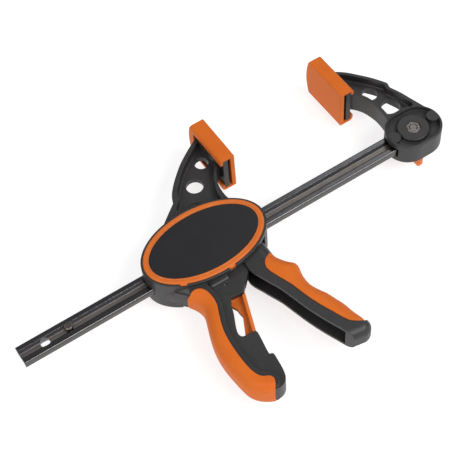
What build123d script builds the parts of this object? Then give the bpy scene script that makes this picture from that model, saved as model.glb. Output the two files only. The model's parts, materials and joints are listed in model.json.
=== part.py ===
from build123d import *
import math
import os

# Quick release bar clamp lying on its side.
# The construction coordinates below run along the clamp: x from the bar's free end towards the
# fixed jaw, y from the bar's centre line towards the jaws' tips, z through the clamp's thickness
# with 0 in the bar's middle plane. at(), across() and along() place a sketch in those coordinates
# and set the frame's origin under the middle of the whole clamp.

# ---------------------------------------------------------------- driving dimensions (mm)
BAR_L = 337.5          # length of the bar
BAR_W = 14.6           # width of the bar
BAR_T = 6.08           # thickness of the bar
GROOVE_W = 3.45        # half width of the grooves in the bar, at their top
WEB_W = 1.55           # half width of their flat bottom
WEB_T = 0.9            # half thickness of the bar between them
BAR_EDGE = 1.2         # rounding of the bar's long edges
HOLE_X = 18.4          # free end hole, from the end
HOLE_R = 3.3           # radius of both end holes
STOP_X = 36.4          # stop pin
STOP_R = 2.75
LOCK_X = 319.5         # middle of the fixed jaw's boss and of the bar's far hole
BOSS_R = 16.95         # end radius of the stadium shaped boss
BOSS_C = 4.9           # its arc centres stand this far each side of LOCK_X
BOSS_H = 8.9           # half thickness of the boss
ARM_H = 8.0            # half thickness of both jaw arms
WEB_H = 1.9            # half thickness of their webs
WELL_R = 15.2          # end radius of the boss's recesses
FLOOR_R = 1.2          # the webs run into the walls round them with this radius
FIX_FACE = 290.0       # fixed pad's working face
MOV_FACE = 197.4       # moving pad's working face
PAD_T = 11.56          # thickness of a pad along the bar
PAD_Y0, PAD_Y1 = 47.3, 87.6
PAD_H = 16.97          # half width of a pad
PAD_ARCH = 3.2         # how far the pad's end is arched
BX = 142.2             # middle of the oval body
BODY_A, BODY_B, BODY_H = 46.8, 29.1, 13.56
COVER_A, COVER_B = 45.2, 27.5
LABEL_A, LABEL_B = 41.0, 23.3
CORE_H = 7.4           # half thickness of the grip's black core
BAND_H = 10.2          # half thickness of the raised band beside the soft layer
GRIP_H = 12.0          # half thickness of the soft layer
CHEEK_IN, CHEEK_OUT = 7.6, 9.5   # the handle's side walls
PIV = (166.0, 11.0)    # squeeze handle's pin
PIV_R = 2.5
TRIG = (137.5, -33.5)  # release trigger's pin
TRIG_R = 1.25
FULC = (128.4, -14.5)  # the brake plate rocks on this corner
BRAKE_TILT = 6.0       # degrees, at rest
SPRING_Y = -27.6       # axis of the brake plate's spring
BULGE_Y, BULGE_R = -29.8, 2.6    # axis and radius of the bulge over that spring
RUN = 0.06             # running clearance on pins
OX, OY, OZ = 170.55, -12.85, -24.0


def at(z):
    return Plane(origin=(-OX, -OY, z - OZ), x_dir=(1, 0, 0), z_dir=(0, 0, 1))


def across(x):
    """Looks along +x: local x is y, local y is z."""
    return Plane(origin=(x - OX, -OY, -OZ), x_dir=(0, 1, 0), z_dir=(1, 0, 0))


def along(y):
    """Looks along -y: local x is x, local y is z."""
    return Plane(origin=(-OX, y - OY, -OZ), x_dir=(1, 0, 0), z_dir=(0, -1, 0))


os.makedirs("parts", exist_ok=True)


def save(builder, name):
    builder.part.label = name
    export_step(builder.part, "parts/" + name + ".step")


# ---------------------------------------------------------------- bar
h, t = BAR_W / 2, BAR_T / 2
half_profile = [(-h, t), (-GROOVE_W, t), (-WEB_W, WEB_T), (WEB_W, WEB_T), (GROOVE_W, t), (h, t)]
with BuildPart() as bar:
    with BuildSketch(across(0)) as section:
        with BuildLine():
            Polyline(*half_profile, *[(y, -z) for y, z in reversed(half_profile)], close=True)
        make_face()
        fillet([v for v in section.vertices() if abs(abs(v.X) - h) < 0.01], BAR_EDGE)
    extrude(amount=BAR_L)
    with BuildSketch(at(-5)):
        with Locations((HOLE_X, 0), (LOCK_X, 0)):
            Circle(HOLE_R)
        with Locations((STOP_X, 0)):
            Circle(STOP_R)
    extrude(amount=10, mode=Mode.SUBTRACT)
save(bar, "bar")

with BuildPart() as stop_pin:
    with BuildSketch(at(-5.4)):
        with Locations((STOP_X, 0)):
            Circle(STOP_R)
    extrude(amount=10.8)
    chamfer(stop_pin.edges().filter_by(GeomType.CIRCLE), 0.45)
save(stop_pin, "stop_pin")

# ---------------------------------------------------------------- fixed jaw
F_OUT1 = [(301.6, 77.6), (306.1, 74.2), (310.6, 70.4), (313.9, 66.7), (317.9, 61.6), (322.5, 55.6), (326.7, 49.0), (329.6, 43.9)]
F_OUT2 = [(328.6, 39.3), (330.1, 35.4), (331.6, 31.6), (332.9, 27.2), (334.1, 22.8), (335.3, 18.6), (336.6, 14.2), (338.2, 8.5)]
F_IN = [(308.2, 10.0), (309.0, 20.8), (309.4, 25.8), (309.2, 31.2), (308.3, 36.0), (307.2, 40.2), (305.3, 44.2), (302.8, 47.8), (299.2, 51.2)]
F_POC1 = [(302.6, 73.6), (305.2, 71.8), (309.2, 68.4), (312.3, 65.0), (316.2, 60.0), (320.8, 54.0), (324.9, 47.6), (326.8, 44.0)]
F_POC2 = [(326.0, 39.4), (327.7, 35.2), (329.2, 31.2), (330.5, 26.8), (331.7, 22.4), (332.6, 18.8)]
F_POC3 = [(311.7, 20.4), (311.9, 25.8), (311.6, 31.4), (310.7, 36.8), (309.4, 41.4), (307.3, 45.9), (304.6, 49.8), (302.4, 52.2)]

with BuildPart() as fixed_boss:
    with BuildSketch(at(-BOSS_H)):
        with Locations((LOCK_X, -0.3)):
            SlotCenterToCenter(2 * (BOSS_C - 0.25), 2 * BOSS_R)
    extrude(amount=2 * BOSS_H)
    fillet(fixed_boss.edges().group_by(Axis.Z)[-1] + fixed_boss.edges().group_by(Axis.Z)[0], 1.1)

with BuildPart() as fixed_arm:
    with BuildSketch(at(-ARM_H)):
        with BuildLine():
            Polyline((299.2, 51.2), (296.5, 53.0), (296.5, 80.5), (301.6, 77.6))
            Spline(*F_OUT1)
            Line(F_OUT1[-1], F_OUT2[0])
            Spline(*F_OUT2)
            Polyline(F_OUT2[-1], (330, 2), (312, 2), F_IN[0])
            Spline(*F_IN)
        make_face()
    extrude(amount=2 * ARM_H)

# the room above a sunk web, rounded where its walls meet the web
with BuildPart() as fixed_pocket:
    with BuildSketch(at(WEB_H)):
        with BuildLine():
            Line((302.4, 52.2), (302.6, 73.6))
            Spline(*F_POC1)
            Line(F_POC1[-1], F_POC2[0])
            Spline(*F_POC2)
            Spline((332.6, 18.8), (331.6, 16.2), (328.6, 16.6))
            Spline((328.6, 16.6), (322.0, 18.3), (315.0, 18.4), (311.7, 20.4))
            Spline(*F_POC3)
        make_face()
    extrude(amount=7.5)
    fillet(fixed_pocket.edges().group_by(Axis.Z)[0], FLOOR_R)
fixed_pocket_back = mirror(fixed_pocket.part, about=at(0))

with BuildPart() as fixed_jaw:
    add(fixed_boss.part)
    add(fixed_arm.part)
    # pad plate
    with BuildSketch(across(295.4)):
        with BuildLine():
            Polyline((PAD_Y0 + 0.3, -14.7), (84.6, -14.7), (85.6, 0), (84.6, 14.7), (PAD_Y0 + 0.3, 14.7), close=True)
        make_face()
    extrude(amount=3.8)
    with BuildSketch(across(293.2)):
        with Locations((67.5, 0)):
            Rectangle(30.0, 22.0)
    extrude(amount=2.6)
    # sunk webs on both sides
    add(fixed_pocket.part, mode=Mode.SUBTRACT)
    add(fixed_pocket_back, mode=Mode.SUBTRACT)
    # lightening holes
    with BuildSketch(at(-6)):
        with Locations((315.9, 46.7)):
            Circle(5.9)
        with Locations((321.1, 27.9)):
            Circle(7.1)
    extrude(amount=12, mode=Mode.SUBTRACT)
    # boss recesses, with two round lugs left standing at their ends
    for side in (1, -1):
        with BuildSketch(at(side * 4.85)):
            with Locations((LOCK_X, 0)):
                SlotCenterToCenter(2 * BOSS_C, 2 * WELL_R)
            with Locations((LOCK_X - 17.3, -0.3), (LOCK_X + 17.3, -0.3)):
                Circle(4.7, mode=Mode.SUBTRACT)
        extrude(amount=side * 6, mode=Mode.SUBTRACT)
        # low ridge on the recess floor, round the disc or the washer
        with BuildSketch(at(side * 4.8)):
            with Locations((LOCK_X, 0)):
                Circle(13.5)
                Circle(12.7, mode=Mode.SUBTRACT)
        extrude(amount=side * 0.75)
    # bar socket
    with BuildSketch(across(294)):
        Rectangle(BAR_W + 0.2, BAR_T + 0.16)
    extrude(amount=BAR_L + 0.3 - 294, mode=Mode.SUBTRACT)
    # with a wider mouth
    with BuildSketch(across(294)):
        Rectangle(BAR_W + 2.4, BAR_T + 1.9)
    extrude(amount=7.6, mode=Mode.SUBTRACT)
    # bolt holes and the disc's key holes
    with BuildSketch(at(0)):
        with Locations((LOCK_X, 0)):
            Circle(3.1)
        with Locations((LOCK_X - 8.5, 0), (LOCK_X + 8.5, 0)):
            Circle(1.3)
    extrude(amount=6, mode=Mode.SUBTRACT)
    with BuildSketch(at(0)):
        with Locations((LOCK_X, 0)):
            Circle(3.25)
    extrude(amount=-6, mode=Mode.SUBTRACT)
save(fixed_jaw, "fixed_jaw")


# ---------------------------------------------------------------- pads
def pad(face, way):
    """A soft cap that slides on over the pad plate from its arched end. way is +1 where the jaw lies on the +x side of the face."""
    with BuildPart() as body:
        with BuildSketch(across(face)):
            with BuildLine():
                Polyline((PAD_Y1, PAD_H), (PAD_Y0, PAD_H), (PAD_Y0, -PAD_H), (PAD_Y1, -PAD_H))
                ThreePointArc((PAD_Y1, -PAD_H), (PAD_Y1 + PAD_ARCH, 0), (PAD_Y1, PAD_H))
            make_face()
        extrude(amount=way * PAD_T)
        rear = body.edges().filter_by(Axis.Y).group_by(Axis.X)[-1 if way > 0 else 0]
        fillet(rear, 3.2)
        front = body.edges().filter_by(Axis.Y).group_by(Axis.X)[0 if way > 0 else -1]
        fillet(front, 0.8)
    with BuildPart() as cap:
        add(body.part)
        # room for the plate
        with BuildSketch(across(face + way * 3.1)):
            with BuildLine():
                Polyline((PAD_Y0 - 1, -14.85), (84.9, -14.85), (85.9, 0), (84.9, 14.85), (PAD_Y0 - 1, 14.85), close=True)
            make_face()
        extrude(amount=way * 6.3, mode=Mode.SUBTRACT)
        # slot for the arm between the two rear lips
        with BuildSketch(across(face + way * 9)):
            with BuildLine():
                Polyline((PAD_Y0 - 1, -11.6), (84.0, -11.6), (84.0, 11.6), (PAD_Y0 - 1, 11.6), close=True)
            make_face()
        extrude(amount=way * 6, mode=Mode.SUBTRACT)
    return cap


fixed_jaw_pad = pad(FIX_FACE, 1)
save(fixed_jaw_pad, "fixed_jaw_pad")
moving_jaw_pad = pad(MOV_FACE, -1)
save(moving_jaw_pad, "moving_jaw_pad")

# ---------------------------------------------------------------- fixed jaw's screw
with BuildPart() as lock_disc:
    with BuildSketch(at(4.92)):
        with Locations((LOCK_X, 0)):
            Circle(11.93)
    extrude(amount=2.8)
    fillet(lock_disc.edges().group_by(Axis.Z)[-1], 1.1)
    with BuildSketch(at(4.92)):
        with Locations((LOCK_X, 0)):
            RegularPolygon(5.06, 6, major_radius=False, rotation=12)
    extrude(amount=4, mode=Mode.SUBTRACT)
    with BuildSketch(at(4.92)):
        with Locations((LOCK_X - 8.5, 0), (LOCK_X + 8.5, 0)):
            Circle(1.2)
    extrude(amount=-1.5)
save(lock_disc, "lock_disc")

with BuildPart() as lock_nut:
    with BuildSketch(at(4.92)):
        with Locations((LOCK_X, 0)):
            RegularPolygon(4.95, 6, major_radius=False, rotation=12)
    extrude(amount=2.65)
    chamfer(lock_nut.edges().group_by(Axis.Z)[-1], 0.4)
    with BuildSketch(at(4.9)):
        with Locations((LOCK_X, 0)):
            Circle(3.0)
    extrude(amount=3, mode=Mode.SUBTRACT)
save(lock_nut, "lock_nut")

with BuildPart() as lock_bolt:
    with BuildSketch(at(-16)):
        with Locations((LOCK_X, 0)):
            Circle(3.0)
    extrude(amount=10.1)
    with BuildSketch(at(-5.95)):
        with Locations((LOCK_X, 0)):
            Circle(3.15)
    extrude(amount=9.0)
    with BuildSketch(at(3.0)):
        with Locations((LOCK_X, 0)):
            Circle(2.93)
    extrude(amount=4.6)
    chamfer(lock_bolt.edges().group_by(Axis.Z)[-1], 0.5)
save(lock_bolt, "lock_bolt")

with BuildPart() as lock_washer:
    with BuildSketch(at(-5.9)):
        with Locations((LOCK_X, 0)):
            Circle(7.0)
            Circle(3.25, mode=Mode.SUBTRACT)
    extrude(amount=1.0)
save(lock_washer, "lock_washer")

with BuildPart() as knob_wing:
    with BuildSketch(at(OZ)):
        with Locations((LOCK_X - 0.4, 0)):
            RectangleRounded(4.9, 25.4, 1.5)
    extrude(amount=-9.1 - OZ)
    fillet(knob_wing.edges().group_by(Axis.Z)[0], 0.9)
with BuildPart() as lock_knob:
    with BuildSketch(at(-9.3)):
        with Locations((LOCK_X, 0)):
            Circle(11.6)
    extrude(amount=3.35)
    add(knob_wing.part)
    with BuildSketch(at(-16)):
        with Locations((LOCK_X, 0)):
            Circle(4.4)
    extrude(amount=8)
    with BuildSketch(at(-16)):
        with Locations((LOCK_X, 0)):
            Circle(3.0)
    extrude(amount=11, mode=Mode.SUBTRACT)
save(lock_knob, "lock_knob")

# ---------------------------------------------------------------- sliding head: outlines
M_OUT1 = [(189.0, 83.4), (185.9, 81.8), (179.5, 78.2), (172.3, 73.6), (164.9, 68.3), (159.2, 63.3), (153.3, 57.6), (148.7, 52.4), (146.0, 48.7), (144.3, 45.4)]
M_OUT2 = [(143.3, 42.4), (139.9, 39.8), (135.4, 36.3), (130.7, 32.5), (125.5, 28.4), (120.0, 24.4), (113.5, 19.6)]
M_IN = [(179.4, 12.0), (178.2, 18.0), (177.0, 24.2), (176.6, 30.4), (177.9, 38.9), (180.6, 46.0), (184.1, 50.2), (189.4, 54.2)]
M_POC = [(186.4, 78.6), (180.3, 75.0), (173.6, 70.5), (166.6, 65.4), (161.2, 60.7), (155.6, 55.0), (151.3, 50.1), (149.2, 46.6), (148.8, 44.0), (147.2, 41.6), (144.6, 39.4), (142.6, 37.4), (142.0, 35.4), (143.6, 34.2)]
M_POC_IN = [(172.9, 20.0), (172.7, 24.0), (172.9, 30.2), (174.2, 35.6), (176.2, 40.1), (178.0, 44.2), (181.4, 49.2), (184.2, 53.2), (186.6, 56.4)]
GRIP_BACK = [(110.8, -27.8), (112.3, -30.4), (113.9, -33.9), (114.9, -38.2), (114.8, -42.0), (113.6, -46.0), (111.7, -50.9), (109.6, -56.6), (107.8, -62.0), (106.2, -68.2), (105.2, -74.6), (104.8, -80.8), (105.0, -87.3), (105.6, -94.6), (106.4, -101.2), (107.8, -106.4), (110.2, -110.2), (113.4, -113.1), (116.8, -115.1), (120.3, -116.2)]
GRIP_EDGE = [(112.9, -28.2), (115.4, -27.7), (118.0, -28.0), (120.5, -29.2), (122.5, -31.6), (123.6, -35.4), (123.8, -41.0), (122.9, -46.0), (121.2, -50.4), (119.3, -54.9), (117.4, -60.1), (115.9, -65.6), (114.9, -71.8), (114.4, -78.2), (114.2, -86.8), (114.7, -96.2), (115.7, -101.0), (117.3, -104.3), (119.6, -106.4), (121.8, -107.6), (123.2, -109.2), (123.5, -111.0), (122.9, -113.0), (121.8, -114.9), (120.3, -116.2)]
SPINE = [(111.6, -107.6), (110.2, -101.0), (109.3, -94.0), (108.9, -87.0), (108.8, -80.8), (109.2, -74.6), (110.2, -68.6), (111.8, -62.8), (113.6, -57.4), (115.7, -51.8), (117.5, -46.6), (118.6, -42.0), (118.4, -37.0), (116.8, -32.6)]
BAND = [(127.3, -33.0), (127.5, -36.4), (127.3, -41.2), (126.2, -46.8), (124.4, -51.6), (122.4, -56.4), (120.5, -61.4), (119.0, -66.6), (118.1, -72.2), (117.6, -78.4), (117.4, -86.6), (117.9, -95.0), (119.0, -99.2), (121.2, -102.6), (124.2, -105.4), (126.0, -108.0), (127.0, -111.0), (126.2, -113.8), (124.4, -115.4)]
WINDOW = [(131.0, -50.9), (127.3, -60.1), (124.3, -67.0), (123.7, -69.4), (124.0, -71.6), (126.3, -73.2)]
FRONT = [(134.6, -75.6), (134.2, -78.8), (132.9, -86.3), (131.9, -92.4)]
TOE = [(133.6, -102.6), (133.1, -106.0), (132.3, -109.6), (130.8, -113.0), (127.9, -115.5), (123.8, -116.5)]

# ---------------------------------------------------------------- grip, in layers
with BuildPart() as grip_core:
    with BuildSketch(at(-CORE_H)):
        with BuildLine():
            Polyline((116.8, -32.6), (106.0, -20.0), (112.0, -12.0), (157.0, -12.0), (157.6, -24.0), (156.6, -32.0), (149.8, -38.9), (145.8, -42.6), (144.2, -45.2), (134.6, -44.1), (131.0, -50.9))
            Spline(*WINDOW)
            Polyline((126.3, -73.2), (134.2, -74.1), (134.6, -75.6))
            Spline(*FRONT)
            Polyline((131.9, -92.4), (132.3, -93.2), (133.6, -93.5), (134.3, -94.2), (134.4, -95.4), (133.6, -102.6))
            Spline(*TOE)
            Spline((123.8, -116.5), (120.6, -115.4), (117.4, -113.4), (114.2, -110.8), (111.6, -107.6))
            Spline(*SPINE)
        make_face()
    extrude(amount=2 * CORE_H)

# raised band of the black moulding beside the soft layer
with BuildPart() as grip_band:
    with BuildSketch(at(-BAND_H)):
        with BuildLine():
            Spline(*BAND)
            Polyline((124.4, -115.4), (122.8, -115.6))
            Spline((122.8, -115.6), (118.8, -112.8), (115.4, -110.0), (112.8, -107.6))
            Spline(*[(x + 1.2, y) for x, y in SPINE])
            Polyline((118.0, -32.6), (114.0, -26.0), (120.0, -20.0), (126.0, -22.0), (127.3, -33.0))
        make_face()
    extrude(amount=2 * BAND_H)

# rounded neck that carries the grip's back on to the oval body
NECK_R, NECK_H = 8.0, BAND_H
with BuildPart() as neck_round:
    for x, y in [(111.7, -28.3), (110.5, -25.6), (107.6, -22.0), (104.7, -18.5), (101.6, -14.5)]:
        with BuildSketch(along(y)):
            with BuildLine():
                Polyline((x + NECK_R, NECK_H), (140, NECK_H), (140, -NECK_H), (x + NECK_R, -NECK_H))
                CenterArc((x + NECK_R, NECK_R - NECK_H), NECK_R, 180, 90)
                Line((x, NECK_R - NECK_H), (x, NECK_H - NECK_R))
                CenterArc((x + NECK_R, NECK_H - NECK_R), NECK_R, 90, 90)
            make_face()
    loft()

with BuildPart() as grip_neck:
    with BuildSketch(at(-NECK_H - 1)):
        with BuildLine():
            Polyline((99.0, -27.9), (122.0, -27.9), (126.0, -16.0), (99.0, -15.0), close=True)
        make_face()
    extrude(amount=2 * NECK_H + 2)
    add(neck_round.part, mode=Mode.INTERSECT)

# ---------------------------------------------------------------- head housing
with BuildPart() as oval_body:
    with BuildSketch(at(-BODY_H)):
        with Locations((BX, 0)):
            Ellipse(BODY_A, BODY_B)
    extrude(amount=2 * BODY_H)
    fillet(oval_body.edges().group_by(Axis.Z)[-1] + oval_body.edges().group_by(Axis.Z)[0], 0.5)

with BuildPart() as moving_pocket:
    with BuildSketch(at(WEB_H)):
        with BuildLine():
            Polyline((186.6, 56.4), (186.4, 78.6))
            Spline(*M_POC[:8])
            Polyline(*M_POC[7:])
            Polyline(M_POC[-1], (155.0, 31.0), (166.0, 26.0), (172.9, 20.0))
            Spline(*M_POC_IN)
        make_face()
    extrude(amount=7.5)
    fillet(moving_pocket.edges().group_by(Axis.Z)[0], FLOOR_R)
moving_pocket_back = mirror(moving_pocket.part, about=at(0))

with BuildPart() as moving_arm:
    with BuildSketch(at(-ARM_H)):
        with BuildLine():
            Polyline((189.4, 54.2), (191.0, 55.2), (191.0, 84.0), (189.0, 83.4))
            Spline(*M_OUT1)
            Line(M_OUT1[-1], M_OUT2[0])
            Spline(*M_OUT2)
            Polyline(M_OUT2[-1], (118, 8), (176, 8), M_IN[0])
            Spline(*M_IN)
        make_face()
    extrude(amount=2 * ARM_H)
    # sunk webs
    add(moving_pocket.part, mode=Mode.SUBTRACT)
    add(moving_pocket_back, mode=Mode.SUBTRACT)
    with BuildSketch(at(-6)):
        with Locations((180.0, 64.7)):
            Circle(5.1)
        with Locations((165.2, 50.2)):
            Circle(6.25)
    extrude(amount=12, mode=Mode.SUBTRACT)
    for side in (1, -1):
        with BuildSketch(at(side * 0.9)):
            with Locations((155.4, 32.0)):
                Circle(6.5)
        extrude(amount=side * 4, mode=Mode.SUBTRACT)
    # pad plate
    with BuildSketch(across(188.2)):
        with BuildLine():
            Polyline((PAD_Y0 + 0.3, -14.7), (84.6, -14.7), (85.6, 0), (84.6, 14.7), (PAD_Y0 + 0.3, 14.7), close=True)
        make_face()
    extrude(amount=3.8)
    with BuildSketch(across(191.6)):
        with Locations((67.5, 0)):
            Rectangle(30.0, 22.0)
    extrude(amount=2.6)

TABS = [(147.0, -27.5, 3.7, 10.9), (113.05, -21.1, -27.0, 12.3)]   # snap tabs of the covers: middle, turn and lower end
fx, fy = FULC
tan_b = math.tan(math.radians(BRAKE_TILT))
with BuildPart() as head_housing:
    add(oval_body.part)
    add(moving_arm.part)
    add(grip_core.part)
    add(grip_band.part)
    add(grip_neck.part)
    # the rear half of the grip's root is set back along its edge
    with BuildSketch(at(-CORE_H - 1)):
        with BuildLine():
            Polyline((156.2, -23.0), (155.2, -31.4), (148.8, -37.9), (144.8, -41.6), (142.9, -44.9), (144.2, -48.0), (152.0, -46.0), (162.0, -36.0), (162.0, -23.0), close=True)
        make_face()
    extrude(amount=CORE_H + 1, mode=Mode.SUBTRACT)
    # spring housing that bulges out beside the trigger's pin
    for side in (1, -1):
        with Locations((135.2 - OX, BULGE_Y - OY, side * 7.2 - OZ)):
            Cylinder(BULGE_R, 11.6, rotation=(0, 90, 0))
        with Locations((129.4 - OX, BULGE_Y - OY, side * 7.2 - OZ), (141.0 - OX, BULGE_Y - OY, side * 7.2 - OZ)):
            Sphere(BULGE_R)
    # cover seats
    for side in (1, -1):
        with BuildSketch(at(side * 13.0)):
            with Locations((BX, 0)):
                Ellipse(COVER_A + 0.1, COVER_B + 0.1)
        extrude(amount=side * 3, mode=Mode.SUBTRACT)
        for x, y, turn, low in TABS:
            with BuildSketch(at(side * (low - 0.2))):
                with Locations(Location((x, y, 0), (0, 0, turn))):
                    with Locations((0, -0.6)):
                        Rectangle(5.0, 3.6)
            extrude(amount=side * 4, mode=Mode.SUBTRACT)
    # chambers for the drive plates and for the brake plate, open to both covers
    with BuildSketch(at(-BODY_H - 1)):
        with BuildLine():
            Polyline((134.5, -17.5), (160.0, -17.5), (160.0, 15.0), (134.5, 15.0), close=True)
        make_face()
        with BuildLine():
            Polyline((109.0, -13.0), (124.0, -17.5), (131.8, -17.5), (131.8, 15.0), (118.0, 15.0), (109.0, 9.0), close=True)
        make_face()
    extrude(amount=2 * BODY_H + 2, mode=Mode.SUBTRACT)
    # way through for the bar
    with BuildSketch(across(90)):
        Rectangle(BAR_W + 0.5, BAR_T + 0.5)
    extrude(amount=110, mode=Mode.SUBTRACT)
    # room for the handle: full depth on the right, two side slots past the grip's root
    with BuildSketch(at(-9.8)):
        with BuildLine():
            Polyline((PIV[0] + 4, PIV[1] + 8.6), (172.0, 18.0), (175.2, 13.0), (180.6, 2.0), (180.8, -12.0), (179.2, -15.8), (178.9, -24.0),
                     (190.0, -40.0), (158.1, -40.0), (158.1, -22.0), (157.4, -10.0), (156.6, 8.0), (157.4, 14.4), (160.0, 18.0), (164.0, 20.3), close=True)
        make_face()
    extrude(amount=19.6, mode=Mode.SUBTRACT)
    for side in (1, -1):
        with BuildSketch(at(side * 7.45)):
            with BuildLine():
                Polyline((158.5, -9.0), (148.0, -9.6), (145.4, -15.4), (142.2, -25.6), (141.3, -32.0), (159.0, -36.0), close=True)
            make_face()
        extrude(amount=side * 2.35, mode=Mode.SUBTRACT)
    # tail of the brake plate, its spring and the trigger's upper arm
    with BuildSketch(at(-3.4)):
        with BuildLine():
            Polyline((120.4, -16.0), (131.6, -16.0), (131.6, -24.6), (141.8, -24.6), (141.8, -30.4), (143.0, -31.0), (144.8, -36.0), (149.0, -40.2), (149.0, -50.0),
                     (134.6, -50.0), (129.6, -62.0), (123.0, -62.0), (126.6, -50.0), (130.4, -41.0), (131.6, -38.0), (120.4, -38.0), close=True)
        make_face()
    extrude(amount=6.8, mode=Mode.SUBTRACT)
    # rib the brake plate rocks on
    with BuildSketch(at(-7.0)):
        with BuildLine():
            Polyline((fx + 0.03, fy), (fx + 0.6, fy + 0.5), (132.6, fy + 1.4), (132.6, -18.4), (fx + 1.2, -18.4), (fx + 0.05, fy - 0.5), close=True)
        make_face()
    extrude(amount=14.0)
    # pins
    with BuildSketch(at(-15)):
        with Locations(PIV):
            Circle(PIV_R)
        with Locations(TRIG):
            Circle(TRIG_R)
    extrude(amount=30, mode=Mode.SUBTRACT)
save(head_housing, "head_housing")

# ---------------------------------------------------------------- soft layer on the grip's back
GRIP_R = 9.0           # its back edges are rounded to this radius
with BuildPart() as grip_round:
    for x, y in [(109.6, -24.0)] + GRIP_BACK + [(124.0, -117.2)]:
        with BuildSketch(along(y)):
            with BuildLine():
                Polyline((x + GRIP_R, GRIP_H), (140, GRIP_H), (140, -GRIP_H), (x + GRIP_R, -GRIP_H))
                CenterArc((x + GRIP_R, GRIP_R - GRIP_H), GRIP_R, 180, 90)
                Line((x, GRIP_R - GRIP_H), (x, GRIP_H - GRIP_R))
                CenterArc((x + GRIP_R, GRIP_H - GRIP_R), GRIP_R, 90, 90)
            make_face()
    loft()

with BuildPart() as grip_overmould:
    with BuildSketch(at(-GRIP_H - 1)):
        with BuildLine():
            Spline(*GRIP_EDGE)
            Polyline(GRIP_EDGE[-1], (118.0, -122.0), (92.0, -122.0), (92.0, -26.0), GRIP_BACK[0], GRIP_EDGE[0])
        make_face()
    extrude(amount=2 * GRIP_H + 2)
    add(grip_round.part, mode=Mode.INTERSECT)
    add(grip_core.part, mode=Mode.SUBTRACT)
    add(grip_band.part, mode=Mode.SUBTRACT)
    add(oval_body.part, mode=Mode.SUBTRACT)
    add(grip_neck.part, mode=Mode.SUBTRACT)
save(grip_overmould, "grip_overmould")


# ---------------------------------------------------------------- covers and bare labels
def cover(side):
    with BuildPart() as shell:
        with BuildSketch(at(side * 13.05)):
            with Locations((BX, 0)):
                Ellipse(COVER_A, COVER_B)
        extrude(amount=side * 1.35)
        fillet(shell.edges().group_by(Axis.Z)[-1 if side > 0 else 0], 1.0)
        for x, y, turn, low in TABS:
            with BuildSketch(at(side * low)):
                with Locations(Location((x, y, 0), (0, 0, turn))):
                    Rectangle(4.6, 1.4)
            extrude(amount=side * (13.4 - low))
        with BuildSketch(at(side * 13.42)):
            with Locations((BX, 0)):
                Ellipse(LABEL_A + 0.12, LABEL_B + 0.12)
        extrude(amount=side * 3, mode=Mode.SUBTRACT)
        with BuildSketch(at(side * 14.15)):
            with Locations((BX, 0)):
                Ellipse(LABEL_A + 1.45, LABEL_B + 1.45)
                Ellipse(LABEL_A + 1.0, LABEL_B + 1.0, mode=Mode.SUBTRACT)
        extrude(amount=side * 1, mode=Mode.SUBTRACT)
    return shell


def label(side):
    with BuildPart() as plate:
        with BuildSketch(at(side * 13.44)):
            with Locations((BX, 0)):
                Ellipse(LABEL_A, LABEL_B)
        extrude(amount=side * 0.66)
    return plate


front_cover = cover(1)
save(front_cover, "front_cover")
rear_cover = cover(-1)
save(rear_cover, "rear_cover")
front_label = label(1)
save(front_label, "front_label")
rear_label = label(-1)
save(rear_label, "rear_label")

# ---------------------------------------------------------------- pins
with BuildPart() as handle_pivot_pin:
    with BuildSketch(at(-12.9)):
        with Locations(PIV):
            Circle(PIV_R)
    extrude(amount=25.8)
    chamfer(handle_pivot_pin.edges().filter_by(GeomType.CIRCLE), 0.3)
save(handle_pivot_pin, "handle_pivot_pin")

with BuildPart() as trigger_pin:
    with BuildSketch(at(-5.6)):
        with Locations(TRIG):
            Circle(TRIG_R)
    extrude(amount=11.2)
save(trigger_pin, "trigger_pin")

# ---------------------------------------------------------------- squeeze handle
LIP = [(155.9, -33.7), (157.2, -38.9), (159.3, -43.9), (161.1, -48.7), (163.2, -53.9), (165.2, -59.4), (166.8, -65.6), (168.3, -71.6), (169.9, -77.8), (171.6, -83.6), (173.6, -89.7), (175.8, -95.7), (178.4, -102.2), (180.6, -107.9), (182.6, -113.2)]
OUT = [(177.9, -29.4), (178.8, -33.8), (180.9, -37.8), (183.4, -41.3), (185.7, -43.9), (186.7, -46.2), (186.2, -49.5), (185.1, -53.6), (184.6, -58.2), (184.8, -62.8), (185.9, -66.9), (187.4, -70.4), (189.3, -74.0), (191.2, -78.9), (193.2, -85.0), (195.1, -92.6), (196.6, -99.6), (197.9, -106.0)]
HOLD = [(175.5, -29.1), (171.4, -32.0), (168.1, -34.7), (166.3, -38.0), (166.2, -41.6), (167.7, -46.8), (169.9, -53.0), (172.1, -58.8), (173.6, -65.0), (175.1, -71.2), (177.3, -78.7), (180.0, -86.2), (182.9, -93.4), (185.5, -99.8), (187.5, -103.3), (190.4, -105.8), (195.3, -108.7)]
END = [(197.5, -106.4), (198.6, -109.5), (198.6, -112.6), (197.6, -115.5), (195.2, -117.4), (191.7, -118.0), (187.6, -117.4), (184.1, -115.8), (182.6, -113.2)]
INNER = [(174.6, -23.0), (173.9, -30.0), (174.6, -35.0), (176.9, -39.6), (179.6, -43.2), (181.0, -46.6), (180.2, -50.6), (179.0, -55.0), (178.7, -60.0), (179.4, -65.6), (181.2, -71.0), (183.4, -76.4), (185.6, -82.6), (187.6, -89.4), (189.5, -96.6), (191.2, -103.4), (191.4, -108.0), (190.0, -111.6)]
ROUND_H = 10.3         # the soft layer's half thickness and the radius it is rounded to
LINE_0 = (178.0, -29.0)                  # the handle's sections stand square to this line
LEAN = math.radians(15.0)
down, off = (math.sin(LEAN), -math.cos(LEAN)), (math.cos(LEAN), math.sin(LEAN))


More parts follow.
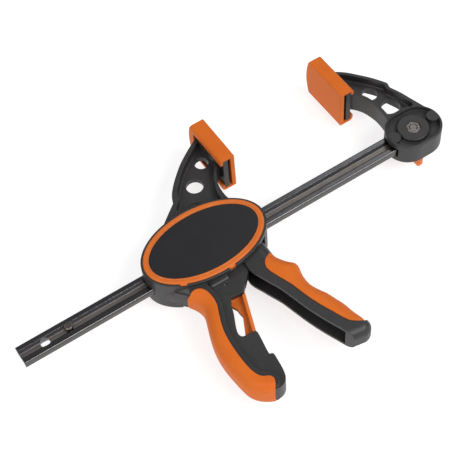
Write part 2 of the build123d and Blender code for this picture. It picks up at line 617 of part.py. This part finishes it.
def section(s, w, half):
    """A section of the handle that is rounded on its outer side: w is how far it stands off the line, s how far along."""
    origin = (LINE_0[0] + s * down[0] - OX, LINE_0[1] + s * down[1] - OY, -OZ)
    with BuildSketch(Plane(origin=origin, x_dir=(off[0], off[1], 0), z_dir=(down[0], down[1], 0))) as shape:
        with BuildLine():
            Polyline((w - half, -half), (-34, -half), (-34, half), (w - half, half))
            ThreePointArc((w - half, half), (w, 0), (w - half, -half))
        make_face()
    return shape.sketch


def rounded(inset, half):
    stations = [((x - LINE_0[0]) * down[0] + (y - LINE_0[1]) * down[1], (x - LINE_0[0]) * off[0] + (y - LINE_0[1]) * off[1]) for x, y in OUT]
    stations = [(-8.0, -0.2), (-4.0, -0.2)] + stations + [(86.0, -1.6)]
    with BuildPart() as body:
        for s, w in stations:
            add(section(s, w - inset, half))
        loft()
    return body


with BuildPart() as hold_room:
    with BuildSketch(at(-14)):
        with BuildLine():
            Polyline(HOLD[0], (178.4, -28.7), (188.0, -27.5), (215.0, -40.0), (215.0, -101.0), HOLD[-1])
            Spline(*reversed(HOLD))
        make_face()
    extrude(amount=28)

with BuildPart() as wall_room:
    with BuildSketch(at(-14)):
        with BuildLine():
            Polyline((173.5, -28.2), (190.0, -27.0), (215.0, -40.0), (215.0, -106.0), (193.3, -109.3))
            Spline(*[(x - 2.0, y - 0.6) for x, y in reversed(HOLD)])
            Line((173.5, -29.7), (173.5, -28.2))
        make_face()
    extrude(amount=28)

# the black wall that runs on underneath the soft layer
with BuildPart() as inner_wall:
    add(rounded(2.1, 8.9).part)
    add(wall_room.part, mode=Mode.INTERSECT)

with BuildPart() as handle_overmould:
    add(rounded(0.0, ROUND_H).part)
    add(hold_room.part, mode=Mode.INTERSECT)
    add(inner_wall.part, mode=Mode.SUBTRACT)

def spot(s, w):
    return (LINE_0[0] + s * down[0] + w * off[0], LINE_0[1] + s * down[1] + w * off[1])


# the handle's end is rounded like the corners of this block
NOSE_R = 6.5
NOSE = [spot(40, -0.5), spot(92.0, -0.5), spot(81.3, -23.0), spot(48, -36)]
with BuildPart() as nose_block:
    with BuildSketch(at(-CHEEK_OUT)):
        with BuildLine():
            Polyline(*NOSE, close=True)
        make_face()
    extrude(amount=2 * CHEEK_OUT)
    tips = [Vector(x - OX, y - OY) for x, y in NOSE[1:3]]
    fillet([e for e in nose_block.edges().filter_by(Axis.Z) if min(math.hypot((e @ 0).X - p.X, (e @ 0).Y - p.Y) for p in tips) < 0.1], NOSE_R + 0.5)
    fillet([e for e in nose_block.edges().group_by(Axis.Z)[0] + nose_block.edges().group_by(Axis.Z)[-1]
            if max((p.X + OX - LINE_0[0]) * down[0] + (p.Y + OY - LINE_0[1]) * down[1] for p in (e @ 0, e @ 1)) > 55], NOSE_R)

with BuildPart() as nose_trim:
    with BuildSketch(at(-14)):
        with BuildLine():
            Polyline(spot(62, 20), spot(110, 20), spot(110, -50), spot(62, -50), close=True)
        make_face()
    extrude(amount=28)
    add(nose_block.part, mode=Mode.SUBTRACT)

# and its outer side above the soft layer is rounded too
with BuildPart() as shoulder:
    for s, w in ((-34.0, 9.6), (-26.0, 7.4), (-16.3, 4.6), (-8.0, 2.3), (-3.0, 0.9), (0.5, -0.1), (5.0, -0.4)):
        add(section(s, w, CHEEK_OUT))
    loft()

with BuildPart() as shoulder_trim:
    with BuildSketch(at(-14)):
        with BuildLine():
            Polyline(spot(-20, 24), spot(2.5, 24), spot(2.5, -10), spot(-20, -8), close=True)
        make_face()
    extrude(amount=28)
    add(shoulder.part, mode=Mode.SUBTRACT)

with BuildPart() as handle_body:
    with BuildSketch(at(-CHEEK_OUT)):
        with BuildLine():
            Polyline((162.0, 9.0), (157.6, 9.0), (156.9, -4.0), (156.6, -14.0), (156.6, -24.0), (155.9, -33.7))
            Spline(*LIP)
            Spline(*reversed(END))
            Line(END[0], (OUT[-1][0] - 0.4, OUT[-1][1]))
            Spline(*[(x - 0.4, y) for x, y in reversed(OUT)])
            Polyline((OUT[0][0] - 0.4, OUT[0][1]), (178.3, -23.3), (178.3, -12.0), (178.0, -4.0), (174.2, 9.0), (170.0, 9.0), (162.0, 9.0))
        make_face()
        with Locations(PIV):
            Circle(8.4)
    extrude(amount=2 * CHEEK_OUT)
# the channel is open towards the grip
with BuildPart() as channel:
    with BuildSketch(at(-CHEEK_IN)):
        with BuildLine():
            Polyline((174.2, -26.0), (150.0, -26.0), (150.0, -60.0), (160.0, -90.0), (172.0, -103.0), (178.6, -107.4), (184.6, -109.0), (189.0, -107.6), (191.2, -103.4))
            Spline(*reversed(INNER[1:-2]))
            Line(INNER[1], (174.2, -26.0))
        make_face()
    extrude(amount=2 * CHEEK_IN)
    add(rounded(4.3, CHEEK_IN).part, mode=Mode.INTERSECT)
    with BuildSketch(at(-CHEEK_IN)):
        with BuildLine():
            Polyline(spot(-6, -6.6), spot(-2.0, -6.6), spot(1.5, -8.1), spot(16, -8.1), spot(16, -30), spot(-6, -30), close=True)
        make_face()
    extrude(amount=2 * CHEEK_IN)
    with BuildSketch(at(-CHEEK_IN)):
        with BuildLine():
            Polyline((173.2, -27.0), (174.2, -22.0), (174.6, -12.2), (180.0, -12.2), (180.0, 24.0), (150.0, 24.0), (150.0, -27.0), close=True)
        make_face()
    extrude(amount=2 * CHEEK_IN)

with BuildPart() as ribs:
    for x, y in ((166.7, -49.3), (169.9, -62.0), (173.2, -74.6), (176.2, -85.0)):
        with BuildSketch(at(0)):
            with BuildLine():
                Polyline((x, y), (x + 13.5, y - 4.0), (x + 13.2, y - 5.1), (x - 0.3, y - 1.1), close=True)
            make_face()
        extrude(amount=CHEEK_IN + 0.4)
        with BuildSketch(at(-CHEEK_IN - 0.4)):
            with BuildLine():
                Polyline((x + 5, y - 1.48), (x + 13.5, y - 4.0), (x + 13.2, y - 5.1), (x + 4.7, y - 2.58), close=True)
            make_face()
        extrude(amount=CHEEK_IN + 0.4)
    add(rounded(3.6, 8.2).part, mode=Mode.INTERSECT)

with BuildPart() as squeeze_handle:
    add(handle_body.part)
    add(hold_room.part, mode=Mode.SUBTRACT)
    add(nose_trim.part, mode=Mode.SUBTRACT)
    add(shoulder_trim.part, mode=Mode.SUBTRACT)
    add(inner_wall.part)
    add(channel.part, mode=Mode.SUBTRACT)
    # cross bar that pushes the drive plates
    with BuildSketch(at(-CHEEK_IN - 0.5)):
        with Locations((156.65, -13.0)):
            Circle(1.5)
        with BuildLine():
            Polyline((156.65, -11.5), (168.0, -12.3), (176.0, -12.3), (176.0, -15.0), (168.0, -15.0), (156.65, -14.5), close=True)
        make_face()
    extrude(amount=2 * CHEEK_IN + 1.0)
    add(ribs.part)
    with BuildSketch(at(-12)):
        with Locations(PIV):
            Circle(PIV_R + RUN)
    extrude(amount=24, mode=Mode.SUBTRACT)
save(handle_overmould, "handle_overmould")
save(squeeze_handle, "squeeze_handle")

# ---------------------------------------------------------------- release trigger
with BuildPart() as release_trigger:
    with BuildSketch(at(-3.1)):
        with Locations(TRIG):
            Circle(2.8)
        with BuildLine():
            Polyline((139.6, -31.7), (143.4, -37.2), (145.9, -41.4), (144.6, -44.2), (134.6, -44.2), (135.0, -38.0), (135.5, -35.4), close=True)
        make_face()
        with BuildLine():
            Polyline((137.5, -31.0), (133.0, -32.1), (126.8, -33.5), (123.6, -32.4), (123.0, -28.5), (123.6, -25.0), (123.83, -23.0), (122.9, -23.2),
                     (121.5, -25.0), (121.5, -33.2), (123.2, -35.8), (137.5, -36.1), close=True)
        make_face()
        with Locations((123.83, -24.0)):
            Circle(1.0)
    extrude(amount=6.2)
    # thin web that shows in the grip's window
    with BuildSketch(at(-1.3)):
        with BuildLine():
            Polyline((144.8, -43.0), (144.6, -45.9), (135.4, -71.6), (135.0, -72.7), (130.6, -72.3), (128.5, -70.7), (128.8, -69.6), (132.0, -63.2), (135.0, -57.4), (134.7, -53.3),
                     (134.7, -50.9), (133.6, -48.5), (133.0, -46.7), (134.7, -43.0), close=True)
        make_face()
    extrude(amount=2.6)
    with BuildSketch(at(-6.0)):
        with BuildLine():
            Polyline((144.6, -45.9), (135.0, -72.7), (132.7, -72.4), (142.3, -45.9), close=True)
        make_face()
    extrude(amount=12.0)
    with BuildSketch(at(-3.0)):
        with BuildLine():
            Polyline((144.6, -46.4), (146.7, -40.5), (144.4, -40.5), (142.3, -46.4), close=True)
        make_face()
    extrude(amount=6.0)
    with BuildSketch(at(-5)):
        with Locations(TRIG):
            Circle(TRIG_R + RUN)
    extrude(amount=10, mode=Mode.SUBTRACT)
save(release_trigger, "release_trigger")

# ---------------------------------------------------------------- brake plate and its spring
rad = math.radians(BRAKE_TILT)
ux, uy = math.sin(rad), math.cos(rad)      # along the plate
nx, ny = math.cos(rad), -math.sin(rad)     # through the plate
base = (fx - 1.25 * nx, fy - 1.25 * ny)    # beside the fulcrum, on the plate's middle line


def plate_point(a, b):
    """a runs along the plate from the bar's centre line, b through it."""
    lift = -base[1] / uy
    return (base[0] + ux * (lift + a) + nx * b, base[1] + uy * (lift + a) + ny * b)


with BuildPart() as brake_plate:
    with BuildSketch(at(-7.0)):
        with BuildLine():
            Polyline(plate_point(13.0, -1.25), plate_point(13.0, 1.25), plate_point(-16.6, 1.25), plate_point(-16.6, -1.25), close=True)
        make_face()
    extrude(amount=14.0)
    with BuildSketch(at(-2.9)):
        with BuildLine():
            Polyline(plate_point(-16.0, -1.25), plate_point(-16.0, 1.25), plate_point(-30.6, 1.25), plate_point(-30.6, -1.25), close=True)
        make_face()
    extrude(amount=5.8)
    with BuildSketch(at(-3.35)):
        with BuildLine():
            Polyline(plate_point(7.65, -3), plate_point(7.65, 3), plate_point(-7.65, 3), plate_point(-7.65, -3), close=True)
        make_face()
    extrude(amount=6.7, mode=Mode.SUBTRACT)
save(brake_plate, "brake_plate")


def coil(x0, x1, y, radius, wire, turns):
    """A round wire wound about a line along x, its ends standing between x0 and x1."""
    length = x1 - x0 - 2 * wire
    with BuildPart() as spring:
        with BuildLine() as path:
            Helix(pitch=length / turns, height=length, radius=radius, center=(x0 + wire - OX, y - OY, -OZ), direction=(1, 0, 0))
        with BuildSketch(Plane(origin=path.line @ 0, z_dir=path.line % 0)):
            Circle(wire)
        sweep()
    return spring


brake_spring = coil(127.25, 141.7, SPRING_Y, 1.9, 0.4, 8)
save(brake_spring, "brake_spring")

# ---------------------------------------------------------------- drive plates and their spring


def drive_plate(x):
    with BuildPart() as plate:
        with BuildSketch(across(x)):
            with Locations((-1.75, 0)):
                RectangleRounded(29.5, 14.4, 1.0)
            Rectangle(BAR_W + 0.4, BAR_T + 0.5, mode=Mode.SUBTRACT)
        extrude(amount=2.5)
    return plate


drive_plate_a = drive_plate(150.0)
save(drive_plate_a, "drive_plate_a")
drive_plate_b = drive_plate(152.58)
save(drive_plate_b, "drive_plate_b")
drive_spring = coil(134.55, 149.95, 0, 8.9, 0.55, 4.5)
save(drive_spring, "drive_spring")
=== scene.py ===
"""Quick release bar clamp: looks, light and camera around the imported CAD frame. Units are metres, in the row frame."""
import json
import math

import bmesh
import bpy
from mathutils import Matrix, Vector


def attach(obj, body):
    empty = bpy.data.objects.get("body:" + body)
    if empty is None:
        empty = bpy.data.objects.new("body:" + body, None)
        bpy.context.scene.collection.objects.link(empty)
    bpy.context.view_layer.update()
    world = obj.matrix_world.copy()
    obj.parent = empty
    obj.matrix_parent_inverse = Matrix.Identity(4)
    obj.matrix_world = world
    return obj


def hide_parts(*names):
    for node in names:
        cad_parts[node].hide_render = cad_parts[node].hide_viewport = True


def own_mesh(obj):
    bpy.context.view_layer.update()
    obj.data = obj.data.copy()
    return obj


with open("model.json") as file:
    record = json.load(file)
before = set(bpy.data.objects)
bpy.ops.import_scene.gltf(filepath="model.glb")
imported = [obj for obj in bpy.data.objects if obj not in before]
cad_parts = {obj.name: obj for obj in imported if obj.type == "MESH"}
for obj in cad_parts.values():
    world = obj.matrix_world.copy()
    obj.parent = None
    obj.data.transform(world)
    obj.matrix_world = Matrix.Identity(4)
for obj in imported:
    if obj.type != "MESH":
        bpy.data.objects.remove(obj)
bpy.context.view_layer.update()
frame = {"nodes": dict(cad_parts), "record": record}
nodes = frame["nodes"]
scene = bpy.context.scene

# the working frame of the CAD source, in millimetres, to the row frame in metres
OX, OY, OZ = 170.55, -12.85, -24.0


def P(x, y, z):
    return Vector(((x - OX) / 1000, (y - OY) / 1000, (z - OZ) / 1000))


# ---------------------------------------------------------------- camera
cam_data = bpy.data.cameras.new("camera")
cam = bpy.data.objects.new("camera", cam_data)
scene.collection.objects.link(cam)
right = Vector((0.8365160, -0.5451421, -0.0553265))
up = Vector((0.4765269, 0.6739279, 0.5645736))
back = Vector((-0.2704868, -0.4986395, 0.8235263))
turn = Matrix((right, up, back)).transposed()
cam.matrix_world = Matrix.Translation((-0.2251852, -0.3879908, 0.6952306)) @ turn.to_4x4()
cam_data.sensor_width = 36.0
cam_data.lens = 1184.0533 * 36.0 / 460.0
cam_data.clip_start, cam_data.clip_end = 0.01, 50.0
scene.camera = cam


# ---------------------------------------------------------------- materials
class Tree:
    """A small helper that keeps node trees short to write."""

    def __init__(self, name):
        self.m = bpy.data.materials.new(name)
        self.m.use_nodes = True
        self.t = self.m.node_tree
        self.b = self.t.nodes["Principled BSDF"]
        self.co = self.t.nodes.new("ShaderNodeTexCoord").outputs["Object"]

    def link(self, a, b):
        self.t.links.new(a, b)

    def node(self, kind, **props):
        n = self.t.nodes.new(kind)
        for k, v in props.items():
            setattr(n, k, v)
        return n

    def mapped(self, scale, rotation=(0, 0, 0)):
        n = self.node("ShaderNodeMapping")
        n.inputs["Scale"].default_value = scale
        n.inputs["Rotation"].default_value = rotation
        self.link(self.co, n.inputs["Vector"])
        return n.outputs["Vector"]

    def noise(self, scale, detail=2.0, rough=0.5, vector=None, distortion=0.0):
        n = self.node("ShaderNodeTexNoise")
        n.inputs["Scale"].default_value = scale
        n.inputs["Detail"].default_value = detail
        n.inputs["Roughness"].default_value = rough
        n.inputs["Distortion"].default_value = distortion
        self.link(vector or self.co, n.inputs["Vector"])
        return n.outputs["Fac"]

    def span(self, value, lo, hi, a, b, clamp=True):
        """value from lo..hi to a..b"""
        n = self.node("ShaderNodeMapRange", clamp=clamp)
        self.link(value, n.inputs["Value"])
        for k, v in (("From Min", lo), ("From Max", hi), ("To Min", a), ("To Max", b)):
            n.inputs[k].default_value = v
        return n.outputs["Result"]

    def math(self, op, a, b=None):
        n = self.node("ShaderNodeMath", operation=op)
        for i, v in enumerate((a, b)):
            if v is None:
                continue
            if isinstance(v, (int, float)):
                n.inputs[i].default_value = v
            else:
                self.link(v, n.inputs[i])
        return n.outputs[0]

    def mix(self, fac, a, b, blend="MIX"):
        n = self.node("ShaderNodeMix", data_type="RGBA", blend_type=blend)
        for sock, v in ((n.inputs["Factor"], fac), (n.inputs["A"], a), (n.inputs["B"], b)):
            pass
        ins = [s for s in n.inputs if s.enabled]
        for s, v in zip(ins, (fac, a, b)):
            if isinstance(v, (int, float)):
                s.default_value = v
            elif isinstance(v, (tuple, list)):
                s.default_value = (*v, 1.0) if len(v) == 3 else v
            else:
                self.link(v, s)
        return [o for o in n.outputs if o.enabled][0]

    def bump(self, height, strength, distance, normal=None):
        n = self.node("ShaderNodeBump")
        n.inputs["Strength"].default_value = strength
        n.inputs["Distance"].default_value = distance
        self.link(height, n.inputs["Height"])
        if normal is not None:
            self.link(normal, n.inputs["Normal"])
        return n.outputs["Normal"]

    def rounded(self, radius, samples=6):
        n = self.node("ShaderNodeBevel", samples=samples)
        n.inputs["Radius"].default_value = radius
        return n.outputs["Normal"]

    def edge(self, radius, lo, hi):
        """1 on edges sharper than the radius, 0 on flat faces"""
        g = self.node("ShaderNodeNewGeometry")
        d = self.node("ShaderNodeVectorMath", operation="DOT_PRODUCT")
        self.link(self.rounded(radius), d.inputs[0])
        self.link(g.outputs["Normal"], d.inputs[1])
        return self.span(d.outputs["Value"], hi, lo, 0.0, 1.0)


def lin(r, g, b):
    f = lambda c: c / 255 / 12.92 if c / 255 <= 0.04045 else ((c / 255 + 0.055) / 1.055) ** 2.4
    return (f(r), f(g), f(b))


def plastic(name, base, dark, light, rough, grain_mm, grain, round_mm, wear_and_highlight, spec=0.5, parting=0.0):
    """Moulded plastic: a slow drift of colour, a fine eroded grain, edges lighter, partly as rubbed wear and
    partly as a painted highlight.
    """
    t = Tree(name)
    slow = t.noise(38.0, 3.0, 0.55)
    col = t.mix(t.span(slow, 0.35, 0.65, 0.0, 1.0), dark, base)
    fine = t.noise(1000.0 / grain_mm, 2.0, 0.6)
    speck = t.node("ShaderNodeTexVoronoi", feature="F1")
    speck.inputs["Scale"].default_value = 700.0 / grain_mm
    t.link(t.co, speck.inputs["Vector"])
    col = t.mix(t.span(fine, 0.45, 0.75, 0.0, 0.35), col, light)
    # edges lightened towards the light colour: partly rubbed wear, partly a painted highlight where light catches
    # the rims
    rub_and_highlight = t.math("MULTIPLY", t.edge(round_mm / 1000 * 1.5, 0.80, 0.985), t.span(t.noise(420.0, 3.0, 0.6), 0.3, 0.7, 0.35, 1.0))
    col = t.mix(t.math("MULTIPLY", rub_and_highlight, wear_and_highlight), col, light)
    t.link(col, t.b.inputs["Base Color"])
    r = t.math("ADD", t.span(slow, 0.3, 0.7, rough - 0.04, rough + 0.04), t.span(fine, 0.3, 0.7, -0.05, 0.05))
    r = t.math("SUBTRACT", r, t.math("MULTIPLY", rub_and_highlight, 0.06))
    t.link(r, t.b.inputs["Roughness"])
    height = t.math("ADD", t.math("MULTIPLY", speck.outputs["Distance"], 0.6), fine)
    if parting:
        # the mould closes on the middle plane of the clamp, which leaves a faint line round the side walls
        xyz = t.node("ShaderNodeSeparateXYZ")
        t.link(t.co, xyz.inputs[0])
        off = t.math("ABSOLUTE", t.math("SUBTRACT", xyz.outputs["Z"], -OZ / 1000))
        height = t.math("ADD", height, t.span(off, 0.00008, 0.00035, parting, 0.0))
    t.link(t.bump(height, grain, 0.00006, t.rounded(round_mm / 1000)), t.b.inputs["Normal"])
    t.b.inputs["Specular IOR Level"].default_value = spec
    return t.m


def steel(name, base, streak, rough_lo, rough_hi, round_mm, along=(25.0, 900.0, 900.0), spots=0.3, metallic=1.0, rub_and_highlight_amount=0.35):
    """Rolled or drawn steel: fine lines along one axis, cloudy patches, edges brighter, partly as rubbed wear and
    partly as a painted highlight.
    """
    t = Tree(name)
    v = t.mapped(along)
    lines = t.noise(1.0, 4.0, 0.6, vector=v)
    lines2 = t.noise(3.1, 2.0, 0.5, vector=v)
    cloud = t.noise(75.0, 4.0, 0.6, distortion=0.6)
    col = t.mix(t.span(lines, 0.35, 0.68, 0.0, 1.0), base, streak)
    col = t.mix(t.math("MULTIPLY", t.span(cloud, 0.48, 0.72, 0.0, 1.0), spots), col, tuple(c * 0.55 for c in base))
    # edges brightened: partly rubbed wear, partly a painted highlight, as on the nut's hex edges
    rub_and_highlight = t.edge(round_mm / 1000 * 1.6, 0.75, 0.98)
    col = t.mix(t.math("MULTIPLY", rub_and_highlight, rub_and_highlight_amount), col, tuple(min(1.0, c * 1.7 + 0.04) for c in streak))
    t.link(col, t.b.inputs["Base Color"])
    r = t.math("ADD", t.span(lines2, 0.3, 0.7, rough_lo, rough_hi), t.span(cloud, 0.35, 0.7, -0.03, 0.06))
    t.link(r, t.b.inputs["Roughness"])
    t.b.inputs["Metallic"].default_value = metallic
    height = t.math("ADD", lines, t.math("MULTIPLY", lines2, 0.5))
    t.link(t.bump(height, 0.25, 0.00003, t.rounded(round_mm / 1000)), t.b.inputs["Normal"])
    return t.m


def bar_material(name):
    """Cold rolled bar: smooth blued flanges, a duller brown web along the middle, fine lines along the bar."""
    t = Tree(name)
    v = t.mapped((14.0, 900.0, 900.0))
    lines = t.noise(1.0, 4.0, 0.6, vector=v)
    lines2 = t.noise(2.7, 2.0, 0.5, vector=v)
    cloud = t.noise(75.0, 4.0, 0.6, distortion=0.6)
    xyz = t.node("ShaderNodeSeparateXYZ")
    t.link(t.co, xyz.inputs[0])
    off = t.math("ABSOLUTE", t.math("SUBTRACT", xyz.outputs["Y"], -OY / 1000))
    web = t.span(off, 0.0014, 0.0021, 1.0, 0.0)
    side = t.span(off, 0.0066, 0.0072, 0.0, 1.0)
    flange = t.mix(t.span(lines, 0.35, 0.68, 0.0, 1.0), (0.090, 0.091, 0.097), (0.123, 0.124, 0.129))
    floor_ = t.mix(t.span(lines2, 0.35, 0.68, 0.0, 1.0), (0.19, 0.166, 0.151), (0.285, 0.262, 0.245))
    edge_ = t.mix(t.span(lines, 0.35, 0.68, 0.0, 1.0), (0.085, 0.080, 0.077), (0.13, 0.123, 0.118))
    col = t.mix(web, flange, floor_)
    col = t.mix(side, col, edge_)
    col = t.mix(t.math("MULTIPLY", t.span(cloud, 0.5, 0.74, 0.0, 1.0), 0.22), col, (0.07, 0.062, 0.058))
    # edges lightened: partly rubbed wear, partly a painted highlight along the flange edges
    rub_and_highlight = t.edge(0.0006, 0.75, 0.98)
    col = t.mix(t.math("MULTIPLY", rub_and_highlight, 0.22), col, (0.42, 0.40, 0.38))
    t.link(col, t.b.inputs["Base Color"])
    r = t.math("ADD", t.span(lines2, 0.3, 0.7, 0.17, 0.27), t.span(cloud, 0.35, 0.7, -0.02, 0.05))
    r = t.math("ADD", r, t.math("MULTIPLY", web, 0.20))
    t.link(r, t.b.inputs["Roughness"])
    t.b.inputs["Metallic"].default_value = 1.0
    height = t.math("ADD", lines, t.math("MULTIPLY", lines2, 0.5))
    t.link(t.bump(height, 0.18, 0.00003, t.rounded(0.0003)), t.b.inputs["Normal"])
    return t.m


ORANGE = lin(206, 102, 30)
ORANGE_DK = lin(200, 95, 27)
ORANGE_LT = lin(222, 124, 50)
BLACK = lin(60, 60, 62)
mats = {
    "black_plastic": plastic("black_plastic", lin(45, 44, 44), lin(41, 39, 40), lin(82, 80, 80), 0.44, 0.45, 0.35, 0.45, 0.5, spec=0.4, parting=3.0),
    "orange_plastic": plastic("orange_plastic", ORANGE, ORANGE_DK, lin(232, 150, 85), 0.42, 0.40, 0.22, 0.40, 0.75, spec=0.3),
    "orange_soft": plastic("orange_soft", ORANGE, ORANGE_DK, ORANGE_LT, 0.55, 0.50, 0.40, 0.60, 0.35, spec=0.18),
    "label_black": plastic("label_black", lin(31, 31, 33), lin(28, 28, 30), lin(58, 58, 61), 0.36, 0.30, 0.30, 0.30, 0.3, spec=0.35),
    "bar_steel": bar_material("bar_steel"),
    "plain_steel": steel("plain_steel", (0.42, 0.42, 0.43), (0.58, 0.58, 0.58), 0.25, 0.38, 0.25, along=(300.0, 300.0, 900.0), spots=0.25),
    "dark_steel": steel("dark_steel", (0.155, 0.145, 0.140), (0.235, 0.215, 0.205), 0.28, 0.42, 0.40, along=(500.0, 500.0, 500.0), spots=0.3, rub_and_highlight_amount=0.5),
}
slot_of = {s["node"]: s["material_slot"] for s in frame["record"]["subparts"]}
for n, o in nodes.items():
    o.data.materials.clear()
    o.data.materials.append(mats[slot_of[n]])


def add(name, bm_or_mesh, material, body, smooth=True, angle=40.0):
    """A new piece from a bmesh in row-frame metres."""
    if isinstance(bm_or_mesh, bmesh.types.BMesh):
        me = bpy.data.meshes.new(name)
        bm_or_mesh.to_mesh(me)
        bm_or_mesh.free()
    else:
        me = bm_or_mesh
    o = bpy.data.objects.new(name, me)
    scene.collection.objects.link(o)
    me.materials.append(mats[material])
    if smooth:
        me.polygons.foreach_set("use_smooth", [True] * len(me.polygons))
        me.set_sharp_from_angle(angle=math.radians(angle))
    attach(o, body)
    return o


def tube_along(points, radius, sides=14, cap=True):
    """A closed tube along a polyline, swept with parallel frames."""
    bm = bmesh.new()
    rings = []
    n = len(points)
    prev = None
    for i, p in enumerate(points):
        a = points[max(i - 1, 0)]
        b = points[min(i + 1, n - 1)]
        tan = (b - a).normalized()
        if prev is None:
            ref = Vector((0, 0, 1)) if abs(tan.z) < 0.9 else Vector((0, 1, 0))
            u = tan.cross(ref).normalized()
        else:
            u = (prev - tan * prev.dot(tan)).normalized()
        prev = u
        w = tan.cross(u)
        rings.append([bm.verts.new(p + (u * math.cos(2 * math.pi * k / sides) + w * math.sin(2 * math.pi * k / sides)) * radius) for k in range(sides)])
    for r0, r1 in zip(rings, rings[1:]):
        for k in range(sides):
            bm.faces.new((r0[k], r0[(k + 1) % sides], r1[(k + 1) % sides], r1[k]))
    if cap:
        bm.faces.new(list(reversed(rings[0])))
        bm.faces.new(rings[-1])
    bmesh.ops.recalc_face_normals(bm, faces=bm.faces)
    return bm


# ---------------------------------------------------------------- springs
def helix(x0, x1, cy, radius, wire, turns, steps=28):
    """Points of a coil about an axis along X, with less pitch in its end turns, in working millimetres."""
    n = int(turns * steps)
    pts = []
    for i in range(n + 1):
        a = 2 * math.pi * i / steps
        f = i / n
        # less pitch in the end coils, as on a compression spring with closed ends
        g = f - 0.06 * math.sin(2 * math.pi * f)
        x = x0 + wire + (x1 - x0 - 2 * wire) * g
        pts.append(P(x, cy + radius * math.cos(a), radius * math.sin(a)))
    return pts


coil = add("drive_spring_coil", tube_along(helix(134.55, 149.95, 0.0, 8.9, 0.55, 4.5, 40), 0.00055, 14), "plain_steel", "head")
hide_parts("drive_spring")
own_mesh(coil)
coil = add("brake_spring_coil", tube_along(helix(127.25, 141.7, -27.6, 1.9, 0.4, 8.0), 0.0004, 12), "plain_steel", "head")
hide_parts("brake_spring")
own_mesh(coil)


# ---------------------------------------------------------------- floor, light, world
world = bpy.data.worlds.new("world")
scene.world = world
world.use_nodes = True
world.node_tree.nodes["Background"].inputs["Color"].default_value = (0.97, 0.98, 1.0, 1)
world.node_tree.nodes["Background"].inputs["Strength"].default_value = 0.30

bm = bmesh.new()
bmesh.ops.create_grid(bm, x_segments=1, y_segments=1, size=6.0)
me = bpy.data.meshes.new("floor")
bm.to_mesh(me)
bm.free()
floor = bpy.data.objects.new("floor", me)
scene.collection.objects.link(floor)
t = Tree("floor")
c = t.mix(t.span(t.noise(6.0, 3.0, 0.5), 0.35, 0.65, 0.0, 1.0), (0.37, 0.37, 0.37), (0.38, 0.38, 0.38))
t.link(c, t.b.inputs["Base Color"])
t.b.inputs["Roughness"].default_value = 0.9
t.b.inputs["Specular IOR Level"].default_value = 0.0
t.b.inputs["Emission Color"].default_value = (1.0, 1.0, 1.0, 1)
t.b.inputs["Emission Strength"].default_value = 0.74
me.materials.append(t.m)


def area(name, loc, target, size, size_y, power, color=(1, 1, 1)):
    d = bpy.data.lights.new(name, "AREA")
    d.shape = "RECTANGLE"
    d.size, d.size_y = size, size_y
    d.energy = power
    d.color = color
    o = bpy.data.objects.new(name, d)
    scene.collection.objects.link(o)
    o.location = loc
    o.rotation_mode = "QUATERNION"
    o.rotation_quaternion = (Vector(target) - Vector(loc)).to_track_quat("-Z", "Y")
    return o


area("key", (0.45, -0.88, 1.25), (0, 0, 0), 1.3, 0.7, 20.0)
area("fill", (-1.2, -0.35, 0.9), (0, 0, 0), 0.9, 0.9, 10.0)
area("panel", (0.72, 0.57, 0.96), (0.1, 0, 0.02), 0.5, 0.6, 1.3)

scene.view_settings.view_transform = "Standard"
scene.view_settings.look = "None"
